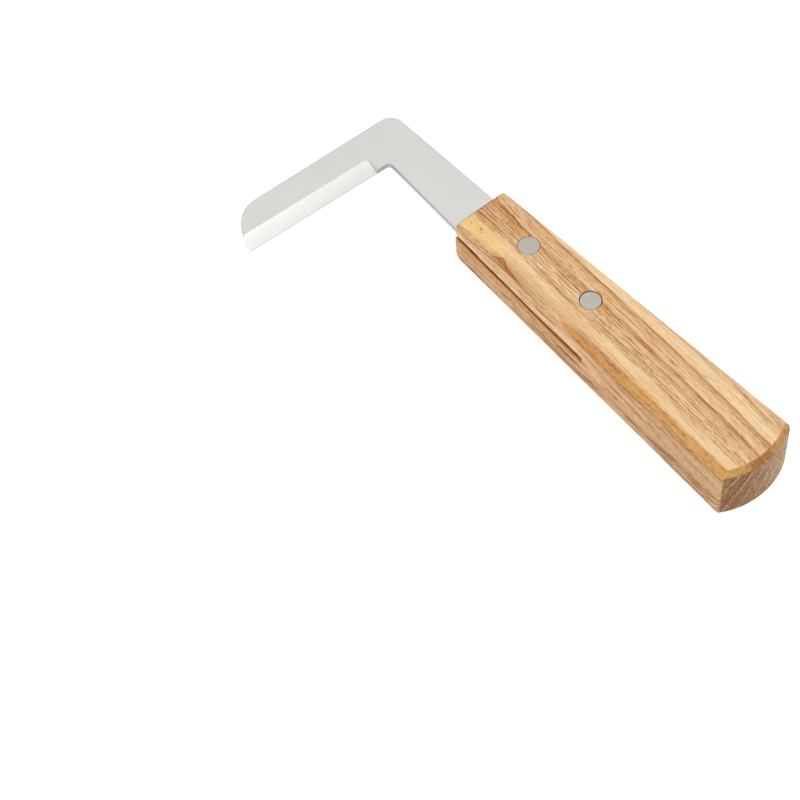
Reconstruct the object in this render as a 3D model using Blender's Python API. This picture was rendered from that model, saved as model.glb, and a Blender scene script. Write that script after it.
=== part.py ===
"""Right-angle hoof trimming tool: an L-shaped steel blade riveted into the
saw kerf of a one-piece wooden handle.

Frame: origin on the handle's flat underside, half way along the handle and
on its centre line.  +X points from the butt to the blade, +Y to the side the
blade's arm reaches out to, +Z up from the underside to the sloping top face.
All lengths are metres.
"""

import math

import bmesh
import bpy
from mathutils import Vector

MM = 0.001

# ---------------------------------------------------------------- handle ----
HANDLE_LENGTH = 112.4 * MM      # front face to the crown of the butt
FRONT_HALF_LEFT = 9.9 * MM      # centre line to the +Y side, at the front face
FRONT_HALF_RIGHT = 8.7 * MM     # centre line to the -Y side, at the front face
BUTT_HALF_LEFT = 12.5 * MM      # the same where the sides meet the butt arc
BUTT_HALF_RIGHT = 12.3 * MM
FRONT_THICK = 15.6 * MM         # height of the top face at the front
BUTT_THICK = 20.0 * MM          # height of the top face at the butt
BUTT_RADIUS = 23.2 * MM         # plan radius of the rounded butt
BUTT_CORNER_R = 1.0 * MM        # eased upright edges at the butt
BUTT_CORNER_CHORD_Y = 2.0 * MM  # Y span of the chord that aims those edges
FRONT_CORNER_R = 1.5 * MM       # eased upright edges at the front

TOP_CHAMFER_LEFT = 2.3 * MM     # flat broken edge along the top, +Y side
TOP_CHAMFER_RIGHT = 1.4 * MM    # the same edge on the -Y side
TOP_CHAMFER_BUTT = 1.8 * MM     # the same edge round the butt
TOP_CHAMFER_FRONT = 0.5 * MM    # the same edge along the front
BASE_CHAMFER = 0.8 * MM         # smaller broken edge round the underside
FRONT_BLEND = 3.0 * MM          # side chamfer depth blends to the front's here
BUTT_BLEND_START = 8.0 * MM     # ahead of the crown, the blend to the butt's
BUTT_BLEND = 5.0 * MM           # length of that blend

FRONT_X = HANDLE_LENGTH / 2.0
BUTT_X = -HANDLE_LENGTH / 2.0

# ---------------------------------------------------------------- blade -----
BLADE_THICK = 1.7 * MM          # plate thickness
BLADE_TOP = 11.0 * MM           # height of the plate's upper face
BLADE_BOTTOM = BLADE_TOP - BLADE_THICK
BLADE_REACH = 45.1 * MM         # arm's outer edge at Y = 0, ahead of the handle
ARM_LEAN = math.radians(2.47)   # arm leans forward of square by this much
EDGE_LEAN = math.radians(3.17)  # cutting edge leans a little more
ARM_ROOT_WIDTH = 13.9 * MM      # arm width along X, at the heel of the bevel
SHANK_OUTER_Y = 4.90 * MM       # shank's outer edge at the corner (towards -Y)
SHANK_INNER_Y = 7.33 * MM       # shank's inner edge at the corner (towards +Y)
SHOULDER_OUTER_Y = 6.47 * MM    # the same edges where they enter the handle
SHOULDER_INNER_Y = 8.44 * MM
OUTER_CORNER_R = 4.6 * MM
INNER_CORNER_R = 1.3 * MM
TANG_LENGTH = 51.5 * MM         # plate inside the handle
TANG_END_WIDTH = 11.5 * MM
TANG_END_R = 4.0 * MM

TIP_START_Y = 43.8 * MM         # where the arm's outer edge starts to curve in
TIP_END_Y = 56.0 * MM           # where that curve meets the cutting edge's line
TIP_START_PULL = (0.3 * MM, 6.8 * MM)  # curve handles, (X, Y) from each end
TIP_END_PULL = (7.2 * MM, -1.8 * MM)
TIP_CORNER_R = 0.8 * MM         # small rounding where the tip meets the edge

BEVEL_WIDTH = 5.05 * MM         # grind width, measured square to the edge
EDGE_LAND = 0.15 * MM           # thickness left at the cutting edge
HEEL_Y = 11.4 * MM              # where the grind stops, short of the corner
HEEL_R = 2.4 * MM               # run-out radius of the grind at its heel

# ------------------------------------------------------------- saw kerf -----
KERF_LENGTH = 53.8 * MM         # depth of the kerf behind the front face
KERF_CLEARANCE = 0.2 * MM       # air above and below the tang

# --------------------------------------------------------------- rivets -----
RIVET_R = 3.1 * MM
RIVET_X = {                      # centres, set back from the front face
    "front": FRONT_X - 19.3 * MM,
    "rear": FRONT_X - 44.5 * MM,
}
RIVET_Y = -0.5 * MM
RIVET_HOLE_GAP = 0.2 * MM        # radial air round each rivet
RIVET_SEGMENTS = 64

# How far the cutters stand clear of what they cut
KERF_OVERRUN = 5.0 * MM          # ahead of the front face
HANDLE_HOLE_OVERRUN = 5.0 * MM   # above and below
TANG_HOLE_OVERRUN = 2.0 * MM     # above and below
BEVEL_TOP_OVERRUN = 3.0 * MM     # above the plate
BEVEL_EDGE_OVERRUN = 3.0 * MM    # outside the cutting edge
BEVEL_INNER_OVERRUN = 0.6 * MM   # past the inner limit of the grind
BEVEL_TIP_OVERRUN = 10.0 * MM    # past the tip


# --------------------------------------------------------- scene helpers ----
def clear_scene():
    for obj in list(bpy.data.objects):
        bpy.data.objects.remove(obj, do_unlink=True)


def material(name, colour, roughness, metallic):
    mat = bpy.data.materials.new(name)
    mat.use_nodes = True
    shader = mat.node_tree.nodes["Principled BSDF"]
    shader.inputs["Base Color"].default_value = (*colour, 1.0)
    shader.inputs["Roughness"].default_value = roughness
    shader.inputs["Metallic"].default_value = metallic
    mat.diffuse_color = (*colour, 1.0)
    return mat


def loft(name, rings, mat=None):
    """Closed solid through rings of (x, y, z) points, listed bottom to top.
    All rings have the same number of points."""
    bm = bmesh.new()
    levels = [[bm.verts.new(point) for point in ring] for ring in rings]
    count = len(levels[0])
    for low, high in zip(levels, levels[1:]):
        for i in range(count):
            j = (i + 1) % count
            bm.faces.new((low[i], low[j], high[j], high[i]))
    bm.faces.new(levels[-1])
    bm.faces.new(list(reversed(levels[0])))
    bmesh.ops.recalc_face_normals(bm, faces=bm.faces[:])
    mesh = bpy.data.meshes.new(name)
    bm.to_mesh(mesh)
    bm.free()

    obj = bpy.data.objects.new(name, mesh)
    bpy.context.scene.collection.objects.link(obj)
    if mat is not None:
        mesh.materials.append(mat)
    return obj


def prism(name, outline, z_low, z_high, mat=None):
    """Closed upright prism over a plan outline."""
    rings = [[(x, y, z) for x, y in outline] for z in (z_low, z_high)]
    return loft(name, rings, mat)


def cut(obj, cutter):
    """Subtract a hidden cutter from an object."""
    cutter.display_type = 'WIRE'
    cutter.hide_render = True
    mod = obj.modifiers.new("cut_" + cutter.name, 'BOOLEAN')
    mod.operation = 'DIFFERENCE'
    mod.solver = 'EXACT'
    mod.object = cutter


def cut_rivet_holes(obj, prefix, z_low, z_high):
    for label, rivet_x in RIVET_X.items():
        outline = rivet_circle(rivet_x, RIVET_R + RIVET_HOLE_GAP)
        cut(obj, prism(prefix + label, outline, z_low, z_high))


# ----------------------------------------------------------- plan curves ----
def arc(centre, radius, start, end, steps):
    """Points of a circular arc in plan, both ends included."""
    angles = [start + (end - start) * i / steps for i in range(steps + 1)]
    return [
        (centre[0] + radius * math.cos(angle), centre[1] + radius * math.sin(angle))
        for angle in angles
    ]


def fillet(before, corner, after, radius, steps):
    """The arc that rounds a plan corner between two straight edges."""
    corner = Vector(corner)
    back = (Vector(before) - corner).normalized()
    ahead = (Vector(after) - corner).normalized()
    half_angle = math.acos(max(-1.0, min(1.0, back.dot(ahead)))) / 2.0
    reach = radius / math.tan(half_angle)
    centre = corner + (back + ahead).normalized() * (radius / math.sin(half_angle))
    first = corner + back * reach - centre
    last = corner + ahead * reach - centre
    start = math.atan2(first.y, first.x)
    turn = math.atan2(first.x * last.y - first.y * last.x, first.dot(last))
    return arc(centre, radius, start, start + turn, steps)


def bezier(start, start_pull, end_pull, end, steps):
    """Cubic curve; each pull is its control point's offset from that end."""
    points = []
    for i in range(steps + 1):
        share = i / steps
        rest = 1.0 - share
        points.append(tuple(
            rest**3 * first
            + 3 * rest * rest * share * (first + first_pull)
            + 3 * rest * share * share * (last + last_pull)
            + share**3 * last
            for first, first_pull, last_pull, last
            in zip(start, start_pull, end_pull, end)
        ))
    return points


def rivet_circle(centre_x, radius):
    turns = [2 * math.pi * i / RIVET_SEGMENTS for i in range(RIVET_SEGMENTS)]
    return [
        (centre_x + radius * math.cos(turn), RIVET_Y + radius * math.sin(turn))
        for turn in turns
    ]


# ---------------------------------------------------------------- handle ----
def top_height(x):
    """The top face rises evenly from the front to the butt."""
    share = (FRONT_X - x) / HANDLE_LENGTH
    return FRONT_THICK + (BUTT_THICK - FRONT_THICK) * share


def half_outline(front_half, butt_half, side_inset, front_inset, butt_inset):
    """One side of the handle's plan outline, mirrored to +Y, from the front
    round to the crown of the butt and drawn in by the three insets.  Every
    call returns the same number of points, so outlines can be lofted."""
    arc_x = BUTT_X + BUTT_RADIUS
    full_corner_x = arc_x - math.sqrt(BUTT_RADIUS**2 - butt_half**2)
    spread = (butt_half - front_half) / (FRONT_X - full_corner_x)
    front_x = FRONT_X - front_inset
    radius = BUTT_RADIUS - butt_inset

    def half_width(x):
        return front_half + spread * (FRONT_X - x) - side_inset

    def butt_arc_x(y):
        return arc_x - math.sqrt(radius**2 - y**2)

    # close in on the point where the straight side meets the butt arc
    corner_x = full_corner_x
    for _ in range(30):
        corner_x = butt_arc_x(half_width(corner_x))
    butt_corner = (corner_x, half_width(corner_x))
    front_corner = (front_x, half_width(front_x))
    chord_y = butt_corner[1] - BUTT_CORNER_CHORD_Y
    chord_end = (butt_arc_x(chord_y), chord_y)

    points = fillet((front_x, 0.0), front_corner, butt_corner, FRONT_CORNER_R, steps=5)
    points += fillet(front_corner, butt_corner, chord_end, BUTT_CORNER_R, steps=4)
    end_x, end_y = points[-1]
    start_angle = math.atan2(end_y, end_x - arc_x)
    return points + arc((arc_x, 0.0), radius, start_angle, math.pi, steps=14)[1:]


def handle_outline(left=0.0, right=0.0, front=0.0, butt=0.0):
    """The handle's whole plan outline, drawn in by an amount on each side."""
    left_half = half_outline(FRONT_HALF_LEFT, BUTT_HALF_LEFT, left, front, butt)
    right_half = half_outline(FRONT_HALF_RIGHT, BUTT_HALF_RIGHT, right, front, butt)
    # the crown is already in the left half
    return left_half + [(x, -y) for x, y in reversed(right_half[:-1])]


def clamp_share(value):
    return min(max(value, 0.0), 1.0)


def chamfer_depth(x, y):
    """The top chamfer is as deep as it is wide; its depths blend into each
    other round the outline."""
    side = TOP_CHAMFER_LEFT if y > 0 else TOP_CHAMFER_RIGHT
    ahead = clamp_share((x - (FRONT_X - FRONT_BLEND)) / FRONT_BLEND)
    behind = clamp_share(((BUTT_X + BUTT_BLEND_START) - x) / BUTT_BLEND)
    return side + (TOP_CHAMFER_FRONT - side) * ahead + (TOP_CHAMFER_BUTT - side) * behind


def build_handle(mat):
    base = handle_outline(
        left=BASE_CHAMFER, right=BASE_CHAMFER, front=BASE_CHAMFER, butt=BASE_CHAMFER
    )
    full = handle_outline()
    top = handle_outline(
        left=TOP_CHAMFER_LEFT,
        right=TOP_CHAMFER_RIGHT,
        front=TOP_CHAMFER_FRONT,
        butt=TOP_CHAMFER_BUTT,
    )
    rings = [
        [(x, y, 0.0) for x, y in base],
        [(x, y, BASE_CHAMFER) for x, y in full],
        [(x, y, top_height(x) - chamfer_depth(x, y)) for x, y in full],
        [(x, y, top_height(x)) for x, y in top],
    ]
    handle = loft("handle", rings, mat)
    cut(handle, build_kerf_cutter())
    cut_rivet_holes(
        handle,
        "handle_hole_",
        z_low=-HANDLE_HOLE_OVERRUN,
        z_high=BUTT_THICK + HANDLE_HOLE_OVERRUN,
    )
    handle.data.set_sharp_from_angle(angle=math.radians(25))


def build_kerf_cutter():
    """Block for the saw kerf, open at the front and along both sides."""
    back_x = FRONT_X - KERF_LENGTH
    front_x = FRONT_X + KERF_OVERRUN
    half_width = 2 * BUTT_HALF_LEFT
    outline = [
        (back_x, -half_width),
        (front_x, -half_width),
        (front_x, half_width),
        (back_x, half_width),
    ]
    return prism(
        "kerf_cutter", outline, BLADE_BOTTOM - KERF_CLEARANCE, BLADE_TOP + KERF_CLEARANCE
    )


# ----------------------------------------------------------------- blade ----
def arm_outer_x(y):
    return FRONT_X + BLADE_REACH + math.tan(ARM_LEAN) * y


def edge_x(y):
    """Cutting edge, and the arm's inner edge below the heel of the grind."""
    heel_x = arm_outer_x(HEEL_Y) - ARM_ROOT_WIDTH
    return heel_x + math.tan(EDGE_LEAN) * (y - HEEL_Y)


def blade_outline():
    """Plan outline of the plate, anticlockwise from the tang's end."""
    tang_x = FRONT_X - TANG_LENGTH
    tang_outer = (tang_x, -TANG_END_WIDTH / 2)
    tang_inner = (tang_x, TANG_END_WIDTH / 2)
    shoulder_outer = (FRONT_X, -SHOULDER_OUTER_Y)
    shoulder_inner = (FRONT_X, SHOULDER_INNER_Y)
    outer_corner = (arm_outer_x(-SHANK_OUTER_Y), -SHANK_OUTER_Y)
    inner_corner = (edge_x(SHANK_INNER_Y), SHANK_INNER_Y)
    heel = (edge_x(HEEL_Y), HEEL_Y)
    tip_start = (arm_outer_x(TIP_START_Y), TIP_START_Y)
    tip_edge = (edge_x(TIP_END_Y), TIP_END_Y)
    # the arm's end: one sweep from the outer edge over to the cutting edge,
    # whose last two points give way to the tip's rounding
    sweep = bezier(tip_start, TIP_START_PULL, TIP_END_PULL, tip_edge, steps=20)[:-2]

    return [
        *fillet(tang_inner, tang_outer, shoulder_outer, TANG_END_R, steps=6),
        shoulder_outer,
        *fillet(shoulder_outer, outer_corner, tip_start, OUTER_CORNER_R, steps=12),
        *sweep,
        *fillet(sweep[-1], tip_edge, heel, TIP_CORNER_R, steps=4),
        *fillet(heel, inner_corner, shoulder_inner, INNER_CORNER_R, steps=6),
        shoulder_inner,
        *fillet(shoulder_inner, tang_inner, tang_outer, TANG_END_R, steps=6),
    ]


def build_bevel_cutter():
    """A wedge whose sloping floor is the ground face of the edge.  Its end at
    the heel is a rounded run-out."""
    along_edge = Vector((math.sin(EDGE_LEAN), math.cos(EDGE_LEAN)))
    into_plate = Vector((math.cos(EDGE_LEAN), -math.sin(EDGE_LEAN)))
    heel = Vector((edge_x(HEEL_Y), HEEL_Y))
    slope = (BLADE_THICK - EDGE_LAND) / BEVEL_WIDTH
    length = (TIP_END_Y - HEEL_Y) + BEVEL_TIP_OVERRUN
    reach = BEVEL_WIDTH + BEVEL_INNER_OVERRUN

    # plan shape as (along the edge, into the plate), measured from the heel
    outline = [(length, reach), (length, -BEVEL_EDGE_OVERRUN), (0.0, -BEVEL_EDGE_OVERRUN)]
    outline += arc((HEEL_R, reach - HEEL_R), HEEL_R, math.pi, math.pi / 2, steps=8)

    floor = []
    roof = []
    for along, inward in outline:
        point = heel + along_edge * along + into_plate * inward
        floor.append((point.x, point.y, BLADE_BOTTOM + EDGE_LAND + slope * inward))
        roof.append((point.x, point.y, BLADE_TOP + BEVEL_TOP_OVERRUN))
    return loft("bevel_cutter", [floor, roof])


def build_blade(mat):
    blade = prism("blade", blade_outline(), BLADE_BOTTOM, BLADE_TOP, mat)
    cut(blade, build_bevel_cutter())
    cut_rivet_holes(
        blade,
        "tang_hole_",
        z_low=BLADE_BOTTOM - TANG_HOLE_OVERRUN,
        z_high=BLADE_TOP + TANG_HOLE_OVERRUN,
    )
    blade.data.shade_smooth()
    blade.data.set_sharp_from_angle(angle=math.radians(20))


# ---------------------------------------------------------------- rivets ----
def build_rivet(label, centre_x, mat):
    """A solid pin ground flush: square to its axis below, following the
    slope of the handle's top face above."""
    outline = rivet_circle(centre_x, RIVET_R)
    low = [(x, y, 0.0) for x, y in outline]
    high = [(x, y, top_height(x)) for x, y in outline]
    rivet = loft("rivet_" + label, [low, high], mat)
    rivet.data.shade_smooth()
    rivet.data.set_sharp_from_angle(angle=math.radians(30))


# ------------------------------------------------------------------ main ----
clear_scene()

wood = material("ash_wood", colour=(0.64, 0.43, 0.23), roughness=0.55, metallic=0.0)
steel = material("satin_steel", colour=(0.68, 0.68, 0.66), roughness=0.35, metallic=1.0)
pin_metal = material(
    "ground_aluminium", colour=(0.50, 0.50, 0.50), roughness=0.45, metallic=1.0
)

build_handle(wood)
build_blade(steel)
for rivet_label, rivet_centre_x in RIVET_X.items():
    build_rivet(rivet_label, rivet_centre_x, pin_metal)
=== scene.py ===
# A right-angle hoof trimming tool: an L-shaped satin steel blade, held by two
# ground-flush pins in the saw kerf of a one-piece ash handle.
# The handle lies along x on the floor (z = 0), with its front at +x and its
# rounded butt at -x; +y is its left.  The blade runs on from the front and its
# arm turns to +y, with the ground edge on the -x side of the arm.
# Lengths are in millimetres and are turned into metres when a mesh is written.
import math

import bmesh
import bpy
import numpy as np
from mathutils import Matrix, Vector, noise


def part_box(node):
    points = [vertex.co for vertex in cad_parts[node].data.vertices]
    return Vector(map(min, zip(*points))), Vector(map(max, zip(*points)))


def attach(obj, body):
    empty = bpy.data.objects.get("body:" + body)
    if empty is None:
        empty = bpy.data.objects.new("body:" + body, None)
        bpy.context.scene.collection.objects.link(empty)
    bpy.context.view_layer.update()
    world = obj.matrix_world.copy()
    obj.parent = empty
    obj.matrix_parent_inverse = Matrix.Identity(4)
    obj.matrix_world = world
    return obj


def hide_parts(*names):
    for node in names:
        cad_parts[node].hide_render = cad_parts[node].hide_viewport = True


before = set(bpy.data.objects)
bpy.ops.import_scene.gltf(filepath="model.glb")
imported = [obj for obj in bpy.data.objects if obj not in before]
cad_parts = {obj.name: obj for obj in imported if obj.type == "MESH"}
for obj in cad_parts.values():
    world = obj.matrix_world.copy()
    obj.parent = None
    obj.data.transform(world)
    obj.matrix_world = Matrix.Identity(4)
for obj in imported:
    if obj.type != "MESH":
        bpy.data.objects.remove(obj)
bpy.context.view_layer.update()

MILLI = 0.001

# --------------------------------------------------------------------- sizes
HANDLE_LOW, HANDLE_HIGH = (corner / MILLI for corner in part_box("handle"))
BLADE_LOW, BLADE_HIGH = (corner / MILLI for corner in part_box("blade"))

FRONT_X = HANDLE_HIGH.x
BUTT_X = HANDLE_LOW.x
HANDLE_LENGTH = FRONT_X - BUTT_X
FRONT_HALF_LEFT, FRONT_HALF_RIGHT = 9.9, 8.7
BUTT_HALF_LEFT, BUTT_HALF_RIGHT = 12.5, 12.3
FRONT_THICK = 15.6
BUTT_THICK = 20.0
BUTT_RADIUS = 23.2
ARC_X = BUTT_X + BUTT_RADIUS
TOP_CHAMFER_LEFT, TOP_CHAMFER_RIGHT = 2.3, 1.4
TOP_CHAMFER_BUTT, TOP_CHAMFER_FRONT = 1.8, 0.5
BASE_CHAMFER = 0.8

# where the butt arc meets the left side, and how fast each face opens out
SWEEP_X = ARC_X - math.sqrt(BUTT_RADIUS**2 - BUTT_HALF_LEFT**2)
LEFT_SPREAD = (BUTT_HALF_LEFT - FRONT_HALF_LEFT) / (FRONT_X - SWEEP_X)
RIGHT_SPREAD = (BUTT_HALF_RIGHT - FRONT_HALF_RIGHT) / (FRONT_X - SWEEP_X)
TOP_SLOPE = (BUTT_THICK - FRONT_THICK) / HANDLE_LENGTH

KERF_END_X = FRONT_X - 53.8
KERF_LOW, KERF_HIGH = 9.1, 11.2

BLADE_BASE, BLADE_TOP = BLADE_LOW.z, BLADE_HIGH.z
BLADE_THICK = BLADE_TOP - BLADE_BASE
BLADE_REACH = 45.1
ARM_LEAN, EDGE_LEAN = math.radians(2.47), math.radians(3.17)
ARM_ROOT_WIDTH = 13.9
SHANK_OUTER_Y, SHANK_INNER_Y = 4.90, 7.33
SHOULDER_OUTER_Y, SHOULDER_INNER_Y = 6.47, 8.44
OUTER_CORNER_R, INNER_CORNER_R = 4.6, 1.3
TIP_START_Y, TIP_END_Y, TIP_CORNER_R = 43.8, 56.0, 0.8
# handles of the tip curve, as x and y steps from its two ends
TIP_START_PULL, TIP_END_PULL = (0.3, 6.8), (7.2, -1.8)
BEVEL_WIDTH, EDGE_LAND = 5.05, 0.15
HEEL_Y, HEEL_R = 11.4, 2.4
TANG_LENGTH, TANG_END_WIDTH, TANG_END_R = 53.5, 11.5, 2.4
RIM_EASE_LOW, RIM_EASE_HIGH = 0.16, 0.24

RIVET_Y = -0.5
# label: (x, hole radius, pin radius, pin's x and y shift in its hole, seed of its face)
RIVETS = {
    "front": (FRONT_X - 19.3, 3.16, 3.08, (0.02, 0.02), 2.0),
    "rear": (FRONT_X - 44.5, 3.20, 2.98, (-0.09, 0.13), 5.0),
}
TANG_HOLE_RADIUS = 3.3
PIN_EASE = 0.13
FILED_DEPTH, FILED_RATE = 0.018, 0.8


# ------------------------------------------------------------------- helpers
def top_height(x):
    return FRONT_THICK + (BUTT_THICK - FRONT_THICK) * (FRONT_X - x) / HANDLE_LENGTH


def write_mesh(name, points, faces):
    """A mesh from points in millimetres, with its faces turned outwards."""
    mesh = bpy.data.meshes.new(name)
    mesh.from_pydata([tuple(c * MILLI for c in point) for point in points], [], faces)
    shell = bmesh.new()
    shell.from_mesh(mesh)
    bmesh.ops.recalc_face_normals(shell, faces=shell.faces[:])
    shell.to_mesh(mesh)
    shell.free()
    return mesh


def add_object(name, points, faces):
    obj = bpy.data.objects.new(name, write_mesh(name, points, faces))
    bpy.context.scene.collection.objects.link(obj)
    return obj


def cut_and_apply(obj, cutters):
    """Subtracts the cutters and keeps only the finished mesh."""
    for cutter in cutters:
        mod = obj.modifiers.new("cut", 'BOOLEAN')
        mod.operation = 'DIFFERENCE'
        mod.solver = 'EXACT'
        mod.object = cutter
    bpy.context.view_layer.update()
    graph = bpy.context.evaluated_depsgraph_get()
    finished = bpy.data.meshes.new_from_object(obj.evaluated_get(graph))
    obj.modifiers.clear()
    old = obj.data
    obj.data = finished
    bpy.data.meshes.remove(old)
    for cutter in cutters:
        data = cutter.data
        bpy.data.objects.remove(cutter)
        bpy.data.meshes.remove(data)


def shade(obj, sharp_degrees):
    obj.data.shade_smooth()
    obj.data.set_sharp_from_angle(angle=math.radians(sharp_degrees))


def tidy(obj, sharp_degrees):
    """Joins doubled points left by the cuts and marks the real edges."""
    shell = bmesh.new()
    shell.from_mesh(obj.data)
    bmesh.ops.remove_doubles(shell, verts=shell.verts[:], dist=0.000002)
    bmesh.ops.dissolve_degenerate(shell, edges=shell.edges[:], dist=0.000001)
    shell.to_mesh(obj.data)
    shell.free()
    shade(obj, sharp_degrees)


def stacked_faces(count, levels):
    """Side quads, base and lid of equal closed loops stacked on one another."""
    sides = []
    for k in range(levels - 1):
        for i in range(count):
            j = (i + 1) % count
            sides.append((
                k * count + i, k * count + j, (k + 1) * count + j, (k + 1) * count + i,
            ))
    base = tuple(reversed(range(count)))
    lid = tuple(range((levels - 1) * count, levels * count))
    return sides, base, lid


def full_turn(steps):
    return [2 * math.pi * i / steps for i in range(steps)]


def arc(centre, radius, start, end, steps):
    angles = [start + (end - start) * i / steps for i in range(steps + 1)]
    return [
        (centre[0] + radius * math.cos(angle), centre[1] + radius * math.sin(angle))
        for angle in angles
    ]


def fillet(before, corner, after, radius, steps):
    corner = Vector(corner)
    back = (Vector(before) - corner).normalized()
    onward = (Vector(after) - corner).normalized()
    half = math.acos(max(-1.0, min(1.0, back.dot(onward)))) / 2.0
    reach = radius / math.tan(half)
    centre = corner + (back + onward).normalized() * (radius / math.sin(half))
    first = corner + back * reach - centre
    last = corner + onward * reach - centre
    start = math.atan2(first.y, first.x)
    turn = math.atan2(first.x * last.y - first.y * last.x, first.dot(last))
    return arc((centre.x, centre.y), radius, start, start + turn, steps)


def bezier(start, pull_start, pull_end, end, steps):
    points = []
    for i in range(steps + 1):
        done = i / steps
        left = 1.0 - done
        points.append(tuple(
            left**3 * a + 3 * left * left * done * b + 3 * left * done * done * c + done**3 * d
            for a, b, c, d in zip(start, pull_start, pull_end, end)
        ))
    return points


# -------------------------------------------------------------------- handle
# The handle is the rounded meeting of its plane and curved faces.  Each face
# is a distance field; they are joined with a soft maximum, which eases every
# arris, and a box of points is drawn onto the result.
LIP_FORWARD = 0.22      # the front stands this much further forward below the kerf
FRONT_RAKE = 0.030      # and leans back by this slope towards the base, from
RAKE_TOP = 9.2          # this height down
CHAMFER_FADE = 1.5      # how much the left chamfer loses near the front
SANDED_OFF = 0.03
DIAGONAL = math.sqrt(2.0)


def round_max(one, other, radius):
    past_one = np.maximum(one + radius, 0.0)
    past_other = np.maximum(other + radius, 0.0)
    corner = np.sqrt(past_one * past_one + past_other * past_other)
    return np.minimum(np.maximum(one, other), -radius) + corner


def smooth_step(value, low, high):
    share = np.clip((value - low) / (high - low), 0.0, 1.0)
    return share * share * (3 - 2 * share)


def half_left(x):
    return FRONT_HALF_LEFT + LEFT_SPREAD * (FRONT_X - x)


def half_right(x):
    return FRONT_HALF_RIGHT + RIGHT_SPREAD * (FRONT_X - x)


def handle_field(points):
    x, y, z = points[:, 0], points[:, 1], points[:, 2]
    # hand sanding leaves the faces very slightly uneven: a slow and a quick wave
    uneven = (
        0.040 * np.sin(0.13 * x + 0.9) * np.sin(0.31 * y + 0.29 * z + 0.4)
        + 0.018 * np.sin(0.41 * x + 0.33 * y) * np.sin(0.47 * z - 0.23 * y + 1.1)
    )
    top = z - top_height(x)
    left = y - half_left(x)
    right = -y - half_right(x)
    front = (
        x - FRONT_X - LIP_FORWARD * smooth_step(-z, -9.6, -9.0)
        + FRONT_RAKE * (RAKE_TOP - np.minimum(z, RAKE_TOP))
    )
    butt = np.sqrt(np.minimum(x - ARC_X, 0.0) ** 2 + y * y) - BUTT_RADIUS
    # the front corner is a little rounder above the kerf than below it
    upper = round_max(np.maximum(left, right), front, radius=1.1)
    lower = round_max(np.maximum(left, right), front, radius=0.7)
    plan = lower + (upper - lower) * smooth_step(z, 9.0, 11.2)
    plan = round_max(plan, butt, radius=0.7)
    # the wide chamfer on the left dies away just short of the front
    fade = CHAMFER_FADE * smooth_step(x, FRONT_X - 9.0, FRONT_X - 0.5)
    chamfer = round_max(
        (left + top + TOP_CHAMFER_LEFT - fade) / DIAGONAL,
        (butt + top + TOP_CHAMFER_BUTT) / DIAGONAL,
        radius=0.5,
    )
    chamfer = np.maximum(chamfer, (right + top + TOP_CHAMFER_RIGHT) / DIAGONAL)
    chamfer = round_max(chamfer, (front + top + TOP_CHAMFER_FRONT) / DIAGONAL, radius=0.4)
    body = round_max(plan, top, radius=0.25)
    body = round_max(body, chamfer, radius=0.35)
    body = round_max(body, -z, radius=0.2)
    body = round_max(body, (plan - z + BASE_CHAMFER) / DIAGONAL, radius=0.4)
    # a slanting plane wears back the lower left front corner
    worn = 0.60 * front + 0.42 * left - 0.68 * z + 1.0
    body = round_max(body, worn, radius=1.2)
    return body + uneven + SANDED_OFF


def draw_onto(field, points, rounds=7, probe=0.01):
    """Moves points down the field's slope until they lie where it is zero."""
    for _ in range(rounds):
        value = field(points)
        slope = np.stack([
            (field(points + np.array(step)) - field(points - np.array(step))) / (2 * probe)
            for step in ((probe, 0, 0), (0, probe, 0), (0, 0, probe))
        ], axis=1)
        points = points - slope * (value / np.maximum((slope**2).sum(1), 0.2))[:, None]
    return points


def spaced(count, ease):
    """Stations from 0 to 1, closer together near both ends."""
    even = np.linspace(0.0, 1.0, count + 1)
    return even - ease * np.sin(2 * math.pi * even) / (2 * math.pi)


def box_surface(nx, ny, nz, ease):
    """Points and quads of a closed box surface in the unit cube."""
    xs, ys, zs = spaced(nx, ease[0]), spaced(ny, ease[1]), spaced(nz, ease[2])
    index, points, faces = {}, [], []

    def at(i, j, k):
        key = (i, j, k)
        if key not in index:
            index[key] = len(points)
            points.append((xs[i], ys[j], zs[k]))
        return index[key]

    for i in range(nx):
        for j in range(ny):
            for k in (0, nz):
                faces.append((at(i, j, k), at(i + 1, j, k), at(i + 1, j + 1, k), at(i, j + 1, k)))
        for k in range(nz):
            for j in (0, ny):
                faces.append((at(i, j, k), at(i + 1, j, k), at(i + 1, j, k + 1), at(i, j, k + 1)))
    for j in range(ny):
        for k in range(nz):
            for i in (0, nx):
                faces.append((at(i, j, k), at(i, j + 1, k), at(i, j + 1, k + 1), at(i, j, k + 1)))
    return np.array(points), faces


def handle_blank():
    unit, faces = box_surface(190, 56, 44, ease=(0.45, 0.55, 0.5))
    along_x, along_y, along_z = unit[:, 0], unit[:, 1], unit[:, 2]
    across = along_y * (BUTT_HALF_LEFT + BUTT_HALF_RIGHT) - BUTT_HALF_RIGHT
    rear = ARC_X - np.sqrt(BUTT_RADIUS**2 - across**2)
    x = rear + (FRONT_X - rear) * along_x
    y = along_y * (half_left(x) + half_right(x)) - half_right(x)
    z = along_z * top_height(x)
    points = draw_onto(handle_field, np.stack([x, y, z], axis=1))
    points[:, 2] = np.maximum(points[:, 2], 0.0)
    return points, faces


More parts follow.
